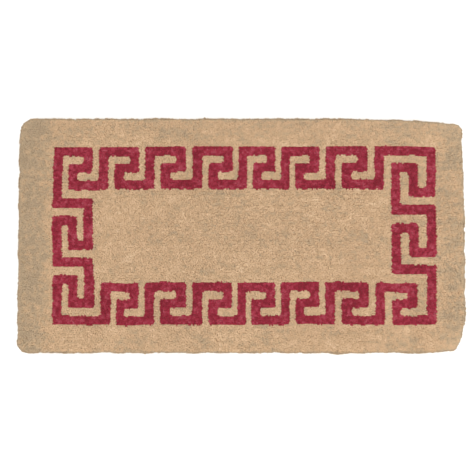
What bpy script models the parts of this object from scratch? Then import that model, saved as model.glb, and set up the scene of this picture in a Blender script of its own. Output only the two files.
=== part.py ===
"""Hand-woven coir door mat with a running key border, modelled as separate solids.

+X runs along the mat's length, +Y towards its back edge and +Z up. The origin is the middle of
the underside, on the floor. All lengths are in metres.

From the floor up the mat is built of lengthwise warp chains, the weft ground they carry, a braided
edge rope lashed round that ground with twine, and the brush pile. The pile is inlaid: a dyed key
line runs round the mat as one closed meander, with undyed pile outside it (the margin) and inside
it (the field). The key line is laid in blocks, one for each turn of the meander.
"""

import math

import bmesh
import bpy
from mathutils import Vector

# Overall size.
LENGTH = 1.200
WIDTH = 0.632
HEIGHT = 0.038
CORNER_RADIUS = 0.030
LEAST_CORNER_RADIUS = 0.004
CORNER_STEPS = 6
CLEARANCE = 0.0003

# Key border. A margin is the undyed pile between the mat's edge and the key's outer edge.
BAR = 0.024
MARGIN_LEFT = 0.095
MARGIN_RIGHT = 0.0765
MARGIN_BACK = 0.079
MARGIN_FRONT = 0.0765
ROW_UNITS = 7
ROW_DEPTH_STEP = 0.0448
COLUMN_UNITS = 2
COLUMN_STEP = 0.046
LEFT_DEPTH_STEP = 0.042
RIGHT_DEPTH_STEP = 0.048
# The undyed pile left in a corner of the key, between one side's inmost bars and the next side's.
LEFT_CORNER_GAP = 0.0153
RIGHT_CORNER_GAP = 0.0213
COLUMN_END_GAP = 0.0221

# Woven base.
CHAIN_COUNT = 25
CHAIN_WIDTH = 0.012
CHAIN_THICKNESS = 0.004
CHAIN_EDGE_ROUND = 0.001
CHAIN_TO_HOLES = 0.004
GROUND_THICKNESS = 0.0037

# Edge rope and its lashing twine.
RIM_OVERHANG = 0.006
ROPE_DIAMETER = 0.008
TWINE_DIAMETER = 0.002
HOLE_EASE = 0.001
HOLE_INSET = 0.007
STITCH_SPACING = 0.065
STITCH_CORNER_GAP = 0.022
STITCH_LEAN = 0.3
STITCH_TURN_STEPS = 4
TUBE_RESOLUTION = 2
TWINE_RESOLUTION = 1

# Pile rim.
RIM_ROUND = 0.008
RIM_ROUND_STEPS = 3
UNDERCUT_EASE = 0.002
CUTTER_OVERSHOOT = 0.010

# Heights and insets that follow from the sizes above.
GROUND_BOTTOM = CHAIN_THICKNESS + CLEARANCE
GROUND_TOP = GROUND_BOTTOM + GROUND_THICKNESS
PILE_BOTTOM = GROUND_TOP + CLEARANCE
STITCH_TURN_ANGLE = math.pi / STITCH_TURN_STEPS
LASHING_REACH = ROPE_DIAMETER / 2 + CLEARANCE + TWINE_DIAMETER / 2
LASHING_RADIUS = LASHING_REACH / math.cos(STITCH_TURN_ANGLE / 2)
ROPE_HEIGHT = CLEARANCE + TWINE_DIAMETER / 2 + LASHING_RADIUS
ROPE_INSET = RIM_OVERHANG + ROPE_DIAMETER / 2
GROUND_INSET = RIM_OVERHANG + ROPE_DIAMETER + CLEARANCE
HOLE_SIDE = TWINE_DIAMETER + 2 * HOLE_EASE
HOLE_LINE_INSET = GROUND_INSET + HOLE_INSET
CHAIN_INSET = HOLE_LINE_INSET + HOLE_SIDE / 2 + CHAIN_TO_HOLES
UNDERCUT_INSET = HOLE_LINE_INSET + TWINE_DIAMETER / 2 + UNDERCUT_EASE
UNDERCUT_TOP = ROPE_HEIGHT + LASHING_RADIUS + TWINE_DIAMETER / 2 + CLEARANCE

# Centre lines of the key's outermost bars.
KEY_LEFT = -LENGTH / 2 + MARGIN_LEFT + BAR / 2
KEY_RIGHT = LENGTH / 2 - MARGIN_RIGHT - BAR / 2
KEY_BACK = WIDTH / 2 - MARGIN_BACK - BAR / 2
KEY_FRONT = -WIDTH / 2 + MARGIN_FRONT + BAR / 2
LEFT_PITCH = 2 * LEFT_DEPTH_STEP + BAR + LEFT_CORNER_GAP
RIGHT_PITCH = 2 * RIGHT_DEPTH_STEP + BAR + RIGHT_CORNER_GAP
ROW_PITCH = (KEY_RIGHT - KEY_LEFT - LEFT_PITCH - RIGHT_PITCH) / (ROW_UNITS - 1)
COLUMN_CORNER = 2 * ROW_DEPTH_STEP + BAR + COLUMN_END_GAP
COLUMN_PITCH = (KEY_BACK - KEY_FRONT - COLUMN_CORNER) / COLUMN_UNITS

RIGHTWARDS = Vector((1, 0))
LEFTWARDS = Vector((-1, 0))
BACKWARDS = Vector((0, 1))
FORWARDS = Vector((0, -1))


def clear_scene():
    for scene_object in list(bpy.data.objects):
        bpy.data.objects.remove(scene_object)


def new_collection(name):
    collection = bpy.data.collections.new(name)
    bpy.context.scene.collection.children.link(collection)
    return collection


def new_material(name, colour, roughness):
    material = bpy.data.materials.new(name)
    material.use_nodes = True
    shader = material.node_tree.nodes["Principled BSDF"]
    shader.inputs["Base Color"].default_value = (*colour, 1)
    shader.inputs["Roughness"].default_value = roughness
    shader.inputs["Metallic"].default_value = 0.0
    return material


def left_of(direction):
    return Vector((-direction.y, direction.x))


def offset_path(points, distance, closed):
    """The right-angled path moved sideways, to the left of its travel where distance is above 0."""
    moved = []
    count = len(points)
    for i, point in enumerate(points):
        before = point - points[i - 1] if closed or i > 0 else None
        after = points[(i + 1) % count] - point if closed or i < count - 1 else None
        sides = [left_of(step.normalized()) for step in (before, after) if step is not None]
        turned = len(sides) == 2 and abs(sides[0].dot(sides[1])) < 0.5
        sideways = sides[0] + sides[1] if turned else sides[0]
        moved.append(point + distance * sideways)
    return moved


def arc(centre, radius, start_angle, steps=CORNER_STEPS):
    """Points of a quarter circle, turning clockwise from start_angle in degrees."""
    angles = [math.radians(start_angle - 90 * i / steps) for i in range(steps + 1)]
    return [centre + radius * Vector((math.cos(a), math.sin(a))) for a in angles]


def corner_arcs(inset):
    """The four corner arcs of the mat's outline drawn in by inset: back left and on, clockwise."""
    radius = max(CORNER_RADIUS - inset, LEAST_CORNER_RADIUS)
    x = LENGTH / 2 - inset - radius
    y = WIDTH / 2 - inset - radius
    centres = (Vector((-x, y)), Vector((x, y)), Vector((x, -y)), Vector((-x, -y)))
    return [arc(centre, radius, angle) for centre, angle in zip(centres, (180, 90, 0, -90))]


def rounded_outline(inset):
    return [point for corner in corner_arcs(inset) for point in corner]


def unit_points(start, along, pitch, step, depth_step):
    """One turn of the meander after its start: along the edge, back, in, and out again."""
    inward = -left_of(along)
    turns = (
        (pitch - step, 0),
        (pitch - step, depth_step),
        (step, depth_step),
        (step, 2 * depth_step),
        (pitch, 2 * depth_step),
        (pitch, 0),
    )
    return [start + along * forward + inward * deep for forward, deep in turns]


def key_sides():
    """Each side of the key, clockwise: name, first point, heading, unit pitches, step, depth step.

    Where the step is None, a unit's is a third of its pitch.
    """
    column = [COLUMN_PITCH] * COLUMN_UNITS
    inner_row = [ROW_PITCH] * (ROW_UNITS - 1)
    back = [LEFT_PITCH, *inner_row]
    front = [RIGHT_PITCH, *inner_row]
    return (
        ("back", (KEY_LEFT, KEY_BACK), RIGHTWARDS, back, None, ROW_DEPTH_STEP),
        ("right", (KEY_RIGHT, KEY_BACK), FORWARDS, column, COLUMN_STEP, RIGHT_DEPTH_STEP),
        ("front", (KEY_RIGHT, KEY_FRONT), LEFTWARDS, front, None, ROW_DEPTH_STEP),
        ("left", (KEY_LEFT, KEY_FRONT), BACKWARDS, column, COLUMN_STEP, LEFT_DEPTH_STEP),
    )


def key_line():
    """The key's closed centre line, clockwise from the back left corner.

    Returns its points, the index of each side's corner point, and the index of each unit's last
    point with the name of its side. The bar that ends there is where two blocks meet.
    """
    points = []
    corners = {}
    unit_ends = []
    for side, first, along, pitches, column_step, depth_step in key_sides():
        start = Vector(first)
        corners[side] = len(points)
        points.append(start)
        for pitch in pitches:
            step = pitch / 3 if column_step is None else column_step
            points += unit_points(start, along, pitch, step, depth_step)
            unit_ends.append((len(points) - 1, side))
            start = points[-1]
    return points, corners, unit_ends


def flat_curve(name, outlines, bottom, top):
    """A flat outline, with any holes as further outlines, extruded from bottom to top."""
    data = bpy.data.curves.new(name, "CURVE")
    data.dimensions = "2D"
    data.fill_mode = "BOTH"
    data.extrude = (top - bottom) / 2
    for outline in outlines:
        spline = data.splines.new("POLY")
        spline.points.add(len(outline) - 1)
        for corner, place in zip(spline.points, outline):
            corner.co = (place.x, place.y, 0, 1)
        spline.use_cyclic_u = True
    curve = bpy.data.objects.new(name, data)
    curve.location.z = (top + bottom) / 2
    return curve


def add_piece(piece, collection, material):
    piece.data.materials.append(material)
    collection.objects.link(piece)
    return piece


def as_mesh(curve, collection):
    """The mesh object that takes a curve object's place and name.

    Its caps are welded on, and each is made one face.
    """
    bpy.context.view_layer.update()
    graph = bpy.context.evaluated_depsgraph_get()
    data = bpy.data.meshes.new_from_object(curve.evaluated_get(graph))
    name = curve.name
    matrix = curve.matrix_world.copy()
    bpy.data.objects.remove(curve)
    welded = bmesh.new()
    welded.from_mesh(data)
    bmesh.ops.remove_doubles(welded, verts=welded.verts, dist=1e-6)
    flat_edges = [edge for edge in welded.edges if edge.calc_face_angle(1) < 0.001]
    bmesh.ops.dissolve_edges(welded, edges=flat_edges, use_verts=False)
    welded.to_mesh(data)
    welded.free()
    piece = bpy.data.objects.new(name, data)
    piece.matrix_world = matrix
    collection.objects.link(piece)
    return piece


def tube(name, points, diameter, resolution, closed, collection, material):
    data = bpy.data.curves.new(name, "CURVE")
    data.dimensions = "3D"
    data.bevel_depth = diameter / 2
    data.bevel_resolution = resolution
    data.use_fill_caps = not closed
    spline = data.splines.new("POLY")
    spline.points.add(len(points) - 1)
    for knot, place in zip(spline.points, points):
        knot.co = (*place, 1)
    spline.use_cyclic_u = closed
    return add_piece(bpy.data.objects.new(name, data), collection, material)


def on_outline(point):
    """True where a point lies on the mat's own rounded outline."""
    beyond_x = abs(point.x) - (LENGTH / 2 - CORNER_RADIUS)
    beyond_y = abs(point.y) - (WIDTH / 2 - CORNER_RADIUS)
    if min(beyond_x, beyond_y) > 0:
        gap = math.hypot(beyond_x, beyond_y) - CORNER_RADIUS
    else:
        gap = max(beyond_x, beyond_y) - CORNER_RADIUS
    return abs(gap) < CLEARANCE


def round_rim(piece):
    """Rounds the top edge of a margin strip where it follows the mat's outline."""
    weights = piece.data.attributes.new("bevel_weight_edge", "FLOAT", "EDGE")
    middle = piece.location.z
    for edge in piece.data.edges:
        ends = [piece.data.vertices[i].co for i in edge.vertices]
        on_top = all(end.z + middle > HEIGHT - CLEARANCE for end in ends)
        on_rim = all(on_outline(end) for end in ends)
        weights.data[edge.index].value = float(on_top and on_rim)
    bevel = piece.modifiers.new("rim_round", "BEVEL")
    bevel.limit_method = "WEIGHT"
    bevel.width = RIM_ROUND
    bevel.segments = RIM_ROUND_STEPS


def make_cutter(name, outlines, bottom, top, cutters):
    curve = flat_curve(name, outlines, bottom, top)
    cutters.objects.link(curve)
    cutter = as_mesh(curve, cutters)
    cutter.hide_render = True
    cutter.display_type = "WIRE"
    return cutter


def make_rim_undercut(cutters):
    """The cutter that clears the rope and its lashing from under the pile's overhanging rim."""
    reach_x = LENGTH / 2 + CUTTER_OVERSHOOT
    reach_y = WIDTH / 2 + CUTTER_OVERSHOOT
    outside = [
        Vector((-reach_x, reach_y)),
        Vector((reach_x, reach_y)),
        Vector((reach_x, -reach_y)),
        Vector((-reach_x, -reach_y)),
    ]
    outlines = [outside, rounded_outline(UNDERCUT_INSET)]
    bottom = PILE_BOTTOM - CUTTER_OVERSHOOT
    return make_cutter("rim_undercut", outlines, bottom, UNDERCUT_TOP, cutters)


def make_key_and_field(points, cutters):
    """The cutter that clears the key and the field inside it from the margin."""
    outline = offset_path(points, BAR / 2 + CLEARANCE, closed=True)
    bottom = PILE_BOTTOM - CUTTER_OVERSHOOT
    return make_cutter("key_and_field", [outline], bottom, HEIGHT + CUTTER_OVERSHOOT, cutters)


def mitre(mat_corner, key_corner, towards):
    """The straight end of a margin strip, from the mat's corner to just inside the key's."""
    run = (key_corner - mat_corner).normalized()
    aside = left_of(run) if left_of(run).dot(towards) > 0 else -left_of(run)
    setback = aside * CLEARANCE / 2
    return mat_corner + setback, key_corner + run * BAR / 2 + setback


def margin_outlines(points, corners, unit_ends):
    """The four strips of the margin before the key is cut out of them: each name with its outline.

    A strip covers the key's row on its side and ends in a mitre at both of the mat's corners.
    """
    key_edge = offset_path(points, BAR / 2 + CLEARANCE, closed=True)
    arcs = corner_arcs(0)
    half = CORNER_STEPS // 2
    sides = key_sides()
    strips = []
    for i, (side, _, along, _, _, depth_step) in enumerate(sides):
        next_side = sides[(i + 1) % len(sides)][0]
        first_arc = arcs[i]
        last_arc = arcs[(i + 1) % len(arcs)]
        first_key = key_edge[corners[side]]
        last_key = key_edge[corners[next_side]]
        first_outer, first_inner = mitre(first_arc[half], first_key, along)
        last_outer, last_inner = mitre(last_arc[half], last_key, -along)
        row_start = points[corners[side]]
        row_end = points[[end for end, name in unit_ends if name == side][-1]]
        inward = -left_of(along) * 2 * depth_step
        outline = [first_outer, *first_arc[half + 1 :], *last_arc[:half], last_outer, last_inner]
        outline += [row_end, row_end + inward, row_start + inward, first_inner]
        strips.append((f"margin_{side}", outline))
    return strips


def make_margin(outlines, collection, cutters, material):
    for name, outline in outlines:
        curve = flat_curve(name, [outline], PILE_BOTTOM, HEIGHT)
        collection.objects.link(curve)
        strip = as_mesh(curve, collection)
        strip.data.materials.append(material)
        round_rim(strip)
        for cutter in cutters:
            cut = strip.modifiers.new(cutter.name, "BOOLEAN")
            cut.operation = "DIFFERENCE"
            cut.solver = "EXACT"
            cut.object = cutter


def make_field(points, collection, material):
    outline = offset_path(points, -BAR / 2 - CLEARANCE, closed=True)
    add_piece(flat_curve("field", [outline], PILE_BOTTOM, HEIGHT), collection, material)


def block_outline(line):
    """The outline of one open stretch of the key line, drawn back a little at both butt ends."""
    first = (line[1] - line[0]).normalized()
    last = (line[-1] - line[-2]).normalized()
    drawn = [line[0] + first * CLEARANCE / 2] + line[1:-1] + [line[-1] - last * CLEARANCE / 2]
    left = offset_path(drawn, BAR / 2, closed=False)
    right = offset_path(drawn, -BAR / 2, closed=False)
    return left + right[::-1]


def key_block_name(side, next_side, number):
    names = {"back": "back_right", "right": "front_right", "front": "front_left", "left": "back_left"}
    return f"key_{side}_{number}" if side == next_side else f"key_corner_{names[side]}"


def make_key(points, unit_ends, collection, material):
    """The key's dyed pile, one block between the middles of each two bars that end a unit."""
    numbers = {}
    count = len(points)
    for i, (end, side) in enumerate(unit_ends):
        next_end, next_side = unit_ends[(i + 1) % len(unit_ends)]
        last = next_end if next_end > end else next_end + count
        stretch = [points[k % count] for k in range(end - 1, last + 1)]
        line = [(stretch[0] + stretch[1]) / 2] + stretch[1:-1] + [(stretch[-2] + stretch[-1]) / 2]
        numbers[side] = numbers.get(side, 0) + 1
        name = key_block_name(side, next_side, numbers[side])
        add_piece(
            flat_curve(name, [block_outline(line)], PILE_BOTTOM, HEIGHT), collection, material
        )


def stitch_lines():
    """Each side's lashing: its name, its outward direction, and its stitches' places.

    A place is where a stitch goes through the ground, and the places run in travel's direction.
    """
    sides = (
        ("back", BACKWARDS, WIDTH / 2, RIGHTWARDS, LENGTH / 2),
        ("right", RIGHTWARDS, LENGTH / 2, FORWARDS, WIDTH / 2),
        ("front", FORWARDS, WIDTH / 2, LEFTWARDS, LENGTH / 2),
        ("left", LEFTWARDS, LENGTH / 2, BACKWARDS, WIDTH / 2),
    )
    lines = []
    for name, outward, to_edge, travel, half_run in sides:
        reach = half_run - CORNER_RADIUS - STITCH_CORNER_GAP
        gaps = round(2 * reach / STITCH_SPACING)
        spacing = 2 * reach / gaps
        base = outward * (to_edge - HOLE_LINE_INSET)
        places = [base + travel * (i * spacing - reach) for i in range(gaps + 1)]
        lines.append((name, outward, travel, spacing, places))
    return lines


def square(centre, side):
    half = side / 2
    return [centre + Vector(c) * half for c in ((-1, 1), (1, 1), (1, -1), (-1, -1))]


def stitch_points(place, outward, travel, spacing):
    """One turn of the lashing: down through the ground, then under, round and over the rope."""
    down = GROUND_BOTTOM - CLEARANCE - TWINE_DIAMETER / 2
    up = GROUND_TOP + CLEARANCE + TWINE_DIAMETER / 2
    to_rope = HOLE_LINE_INSET - ROPE_INSET
    turn = [(*place, up), (*place, down)]
    for i in range(STITCH_TURN_STEPS + 1):
        angle = i * STITCH_TURN_ANGLE - math.pi / 2
        across = place + outward * (to_rope + LASHING_RADIUS * math.cos(angle))
        leaning = across + travel * spacing * STITCH_LEAN * (i + 1) / (STITCH_TURN_STEPS + 1)
        turn.append((*leaning, ROPE_HEIGHT + LASHING_RADIUS * math.sin(angle)))
    return turn


def make_lashing(collection, material):
    for name, outward, travel, spacing, places in stitch_lines():
        turns = [
            point
            for place in places[:-1]
            for point in stitch_points(place, outward, travel, spacing)
        ]
        turns += stitch_points(places[-1], outward, travel, spacing)[:2]
        label = f"lashing_{name}"
        tube(label, turns, TWINE_DIAMETER, TWINE_RESOLUTION, False, collection, material)


def make_rope(collection, material):
    loop = [(*point, ROPE_HEIGHT) for point in rounded_outline(ROPE_INSET)]
    tube("edge_rope", loop, ROPE_DIAMETER, TUBE_RESOLUTION, True, collection, material)


def make_ground(collection, material):
    holes = [square(place, HOLE_SIDE) for line in stitch_lines() for place in line[-1]]
    outline = rounded_outline(GROUND_INSET)
    ground = flat_curve("weft_ground", [outline, *holes], GROUND_BOTTOM, GROUND_TOP)
    add_piece(ground, collection, material)


def make_warp_chains(collection, material):
    """The lengthwise chains that the ground is woven on, evenly spread across the mat."""
    run = LENGTH - 2 * CHAIN_INSET
    spread = WIDTH - 2 * CHAIN_INSET - CHAIN_WIDTH
    bpy.ops.mesh.primitive_cube_add(size=1)
    pattern = bpy.context.object
    chain_mesh = pattern.data
    for corner in chain_mesh.vertices:
        corner.co = (corner.co.x * run, corner.co.y * CHAIN_WIDTH, corner.co.z * CHAIN_THICKNESS)
    bpy.data.objects.remove(pattern)
    chain_mesh.materials.append(material)
    for i in range(CHAIN_COUNT):
        chain = bpy.data.objects.new(f"warp_chain_{i + 1:02d}", chain_mesh)
        chain.location = (0, spread * (i / (CHAIN_COUNT - 1) - 0.5), CHAIN_THICKNESS / 2)
        bevel = chain.modifiers.new("edge_round", "BEVEL")
        bevel.width = CHAIN_EDGE_ROUND
        bevel.segments = 1
        collection.objects.link(chain)


def main():
    clear_scene()
    mat = new_collection("coir_door_mat")
    cutters = new_collection("cutters")
    undyed_pile = new_material("undyed_coir_pile", (0.55, 0.37, 0.22), 0.95)
    dyed_pile = new_material("red_dyed_coir_pile", (0.30, 0.035, 0.05), 0.9)
    yarn = new_material("coir_yarn", (0.42, 0.27, 0.14), 0.9)
    rope = new_material("coir_braid", (0.38, 0.24, 0.12), 0.9)
    twine = new_material("coir_twine", (0.30, 0.18, 0.09), 0.9)
    points, corners, unit_ends = key_line()
    make_warp_chains(mat, yarn)
    make_ground(mat, yarn)
    make_rope(mat, rope)
    make_lashing(mat, twine)
    margin_cutters = [make_key_and_field(points, cutters), make_rim_undercut(cutters)]
    make_margin(margin_outlines(points, corners, unit_ends), mat, margin_cutters, undyed_pile)
    make_field(points, mat, undyed_pile)
    make_key(points, unit_ends, mat, dyed_pile)


main()
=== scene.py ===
"""The looks of a hand-woven coir door mat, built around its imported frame.

+X runs along the mat's length, +Y towards its back edge and +Z up. All lengths are in metres and
the origin is the middle of the underside, on the floor.

The pile is planted tuft by tuft on one lattice over the whole mat. Each tuft belongs to the part of
the frame that it stands on, and takes that part's dye. Under the pile lie the weft picks, the
plaited warp chains, the edge braid and the twine that lashes it on.
"""

import logging
import math
from collections.abc import Iterable
from dataclasses import dataclass, field
from enum import Enum
from functools import partial

import bmesh
import bpy
import numpy as np
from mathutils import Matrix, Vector
from mathutils.bvhtree import BVHTree


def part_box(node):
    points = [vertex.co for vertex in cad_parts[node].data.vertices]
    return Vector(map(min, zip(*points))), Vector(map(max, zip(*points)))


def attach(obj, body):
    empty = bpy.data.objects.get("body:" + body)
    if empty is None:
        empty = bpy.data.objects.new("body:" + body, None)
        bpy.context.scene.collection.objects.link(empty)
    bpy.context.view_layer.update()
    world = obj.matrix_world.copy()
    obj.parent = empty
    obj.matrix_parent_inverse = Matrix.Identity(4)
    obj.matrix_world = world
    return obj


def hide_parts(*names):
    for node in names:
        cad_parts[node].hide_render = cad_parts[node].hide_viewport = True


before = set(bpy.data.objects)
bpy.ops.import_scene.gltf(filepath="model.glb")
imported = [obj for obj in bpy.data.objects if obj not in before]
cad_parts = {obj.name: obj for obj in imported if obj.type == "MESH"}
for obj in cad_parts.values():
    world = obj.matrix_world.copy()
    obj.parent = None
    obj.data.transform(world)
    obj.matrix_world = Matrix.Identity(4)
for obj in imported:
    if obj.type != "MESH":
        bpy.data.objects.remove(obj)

LOG = logging.getLogger("coir_door_mat")
MAP_NAME = "OFBake"
STRAND_MAP = "strand"
# What the planting reads and the type of each: the facts of a point, and a bundle's strand map.
PLANTED_FACTS = {
    "tone": "FLOAT",
    "spin": "FLOAT",
    "lean": "FLOAT_VECTOR",
    "stretch": "FLOAT_VECTOR",
    "shape": "INT",
    STRAND_MAP: "FLOAT_VECTOR",
}
STRAND_FACTS = ("along", "around", "strand_no")
MOST_TRIANGLES = 185_000
# Spots at this angle from each to the next cover a round patch evenly.
GOLDEN_ANGLE = 2.39996
DARKEST, PALEST = 0.17, 0.83

Stops = tuple[tuple[float, str], ...]
Sockets = bpy.types.bpy_prop_collection
# Where the weaver's rows stray from the drawn pattern: at what place, how broadly and how far.
Wanders = tuple[tuple[float, float, float], ...]
# A stretch by where it starts to begin, has begun, starts to end and has ended.
Zone = tuple[float, float, float, float]


class Dye(Enum):
    """The two colours of pile, each by the record's material slot that it is finished in."""

    UNDYED = "undyed_coir_pile"
    RED = "red_dyed_coir_pile"

    @classmethod
    def of(cls, node: str) -> "Dye":
        """The dye of one part of the frame."""
        return cls.RED if node.startswith("key_") else cls.UNDYED


class Edge(Enum):
    """The mat's four edges, each as its outward direction."""

    BACK = (0, 1)
    RIGHT = (1, 0)
    FRONT = (0, -1)
    LEFT = (-1, 0)


# ---------------------------------------------------------------- small helpers


def linear(code: str) -> tuple[float, ...]:
    """An sRGB hex colour, such as "#c6a381", as the linear colour and alpha of shaders."""
    parts = [int(code[i : i + 2], 16) / 255 for i in (1, 3, 5)]
    bent = [c / 12.92 if c <= 0.04045 else ((c + 0.055) / 1.055) ** 2.4 for c in parts]
    return (*bent, 1.0)


def rise(values: np.ndarray, start: float, stop: float) -> np.ndarray:
    """A smooth step that leaves 0 where the values pass start, and reaches 1 at stop."""
    share = np.clip((values - start) / (stop - start), 0, 1)
    return share * share * (3 - 2 * share)


def patchy(points: np.ndarray, cell: float, seed: int) -> np.ndarray:
    """Random values that change smoothly over the mat.

    Args:
        points: places, one a row, of which x and y are read.
        cell: the size of a patch.
        seed: which pattern of patches.

    Returns:
        A value from 0 to 1 for each place.
    """
    size = 61
    grid = np.random.default_rng(seed).random((size, size))
    # The offset keeps every cell's number above 0.
    cells = points[:, :2] / cell + 500
    base = np.floor(cells).astype(int)
    ease = rise(cells - base, 0, 1)
    (row, column), (row_on, column_on) = (base % size).T, ((base + 1) % size).T
    near = grid[row, column] * (1 - ease[:, 1]) + grid[row, column_on] * ease[:, 1]
    far = grid[row_on, column] * (1 - ease[:, 1]) + grid[row_on, column_on] * ease[:, 1]
    return near * (1 - ease[:, 0]) + far * ease[:, 0]


def spoke(angle: float) -> np.ndarray:
    """The level step of length 1 in the direction of an angle."""
    return np.array([math.cos(angle), math.sin(angle), 0.0])


def set_inputs(tree: bpy.types.NodeTree, node: bpy.types.Node, inputs: dict) -> None:
    """Gives a node's inputs their values and links.

    Args:
        tree: the tree that the node is in.
        node: the node.
        inputs: a value, a socket or a node for each input's name or number. A node feeds the
            input from its first output in use.
    """
    for key, value in inputs.items():
        in_use = (s for s in node.inputs if s.enabled and s.name == key)
        socket = node.inputs[key] if isinstance(key, int) else next(in_use)
        if isinstance(value, bpy.types.Node):
            value = next(s for s in value.outputs if s.enabled)
        if isinstance(value, bpy.types.NodeSocket):
            tree.links.new(value, socket)
        else:
            socket.default_value = value


def add_node(
    tree: bpy.types.NodeTree,
    kind: str,
    inputs: dict | None = None,
    stops: Stops = (),
    **settings: object,
) -> bpy.types.Node:
    """Adds a node to a tree with its settings and links.

    Args:
        tree: the tree it goes in.
        kind: the node's type name.
        inputs: its inputs' values and links, as set_inputs takes them.
        stops: places along a colour ramp and the sRGB hex colour at each.
        **settings: the node's own properties and their values.

    Returns:
        The new node.
    """
    node = tree.nodes.new(kind)
    for name, value in settings.items():
        setattr(node, name, value)
    set_inputs(tree, node, inputs or {})
    for i, (place, code) in enumerate(stops):
        elements = node.color_ramp.elements
        element = elements[i] if i < len(elements) else elements.new(place)
        element.position = place
        element.color = linear(code)
    return node


def start_tree(name: str, named: dict[str, str]) -> tuple[bpy.types.NodeTree, Sockets]:
    """Starts a Geometry Nodes tree with named inputs and one geometry output.

    Args:
        name: the tree's name.
        named: each input's name and type.

    Returns:
        The tree and the outputs of its input node.
    """
    tree = bpy.data.node_groups.new(name, "GeometryNodeTree")
    for label, kind in named.items():
        tree.interface.new_socket(name=label, in_out="INPUT", socket_type=f"NodeSocket{kind}")
    tree.interface.new_socket(name="Geometry", in_out="OUTPUT", socket_type="NodeSocketGeometry")
    return tree, add_node(tree, "NodeGroupInput").outputs


def finish_tree(tree: bpy.types.NodeTree, shape: bpy.types.Node, finish: object) -> None:
    """Ends a tree: its shape is made real, gets the finish and goes out."""
    solid = add_node(tree, "GeometryNodeRealizeInstances", {"Geometry": shape})
    dressed = add_node(tree, "GeometryNodeSetMaterial", {"Geometry": solid, "Material": finish})
    add_node(tree, "NodeGroupOutput", {"Geometry": dressed})


def feed(piece: bpy.types.Object, tree: bpy.types.NodeTree, values: dict) -> None:
    """Puts a tree on a piece as a modifier, with a value for each input's name."""
    modifier = piece.modifiers.new(tree.name, "NODES")
    modifier.node_group = tree
    for item in tree.interface.items_tree:
        if item.item_type == "SOCKET" and item.in_out == "INPUT" and item.name in values:
            modifier[item.identifier] = values[item.name]


def in_scene(name: str, data: bpy.types.ID) -> bpy.types.Object:
    """A new object of some data, in the scene."""
    made = bpy.data.objects.new(name, data)
    bpy.context.scene.collection.objects.link(made)
    return made


def made_plain(piece: bpy.types.Object) -> bpy.types.Object:
    """Turns what a piece's modifiers make into its own mesh, and drops the modifiers."""
    bpy.context.view_layer.update()
    graph = bpy.context.evaluated_depsgraph_get()
    shape = bpy.data.meshes.new_from_object(piece.evaluated_get(graph), depsgraph=graph)
    name, source = piece.name, piece.data
    bpy.data.objects.remove(piece)
    (bpy.data.curves if isinstance(source, bpy.types.Curve) else bpy.data.meshes).remove(source)
    shape.name = name
    shape.shade_smooth()
    return in_scene(name, shape)


def read(items: bpy.types.bpy_prop_collection, label: str, kind: type = int) -> np.ndarray:
    """One single-valued property of every item."""
    values = np.zeros(len(items), kind)
    items.foreach_get(label, values)
    return values


def vertex_places(shape: bpy.types.Mesh) -> np.ndarray:
    """The places of a mesh's vertices, one a row."""
    places = np.zeros(len(shape.vertices) * 3)
    shape.vertices.foreach_get("co", places)
    return places.reshape(-1, 3)


def place_vertices(shape: bpy.types.Mesh, places: np.ndarray) -> None:
    """Moves a mesh's vertices to new places, one a row."""
    shape.vertices.foreach_set("co", places.astype(np.float32).ravel())
    shape.update()


def store_map(shape: bpy.types.Mesh, name: str, pairs: np.ndarray) -> None:
    """Gives a mesh a UV map, from a u and a v for each face corner."""
    shape.uv_layers.new(name=name).uv.foreach_set("vector", pairs.astype(np.float32).ravel())


def point_mesh(name: str, places: np.ndarray, facts: dict) -> bpy.types.Mesh:
    """A mesh of loose points that carry facts about what is planted on them.

    Args:
        name: the mesh's name.
        places: one point a row.
        facts: an array of values for each fact's name.

    Returns:
        The mesh.
    """
    shape = bpy.data.meshes.new(name)
    shape.vertices.add(len(places))
    place_vertices(shape, places)
    for label, values in facts.items():
        kind = PLANTED_FACTS[label]
        store = shape.attributes.new(label, kind, "POINT")
        exact = values.astype(np.int32 if kind == "INT" else np.float32)
        store.data.foreach_set("vector" if values.ndim == 2 else "value", exact.ravel())
    return shape


def drop_facts(shape: bpy.types.Mesh, names: Iterable[str]) -> None:
    """Removes a finished mesh's helper attributes."""
    for label in names:
        if label in shape.attributes:
            shape.attributes.remove(shape.attributes[label])


# ---------------------------------------------------------------- finishes


def start_material(name: str) -> tuple[bpy.types.Material, partial, partial]:
    """A new material, with what adds a node to its tree and what sets its shader's inputs."""
    material = bpy.data.materials.new(name)
    material.use_nodes = True
    tree = material.node_tree
    shader = next(n for n in tree.nodes if n.type == "BSDF_PRINCIPLED")
    shader.inputs["Metallic"].default_value = 0.0
    return material, partial(add_node, tree), partial(set_inputs, tree, shader)


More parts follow.
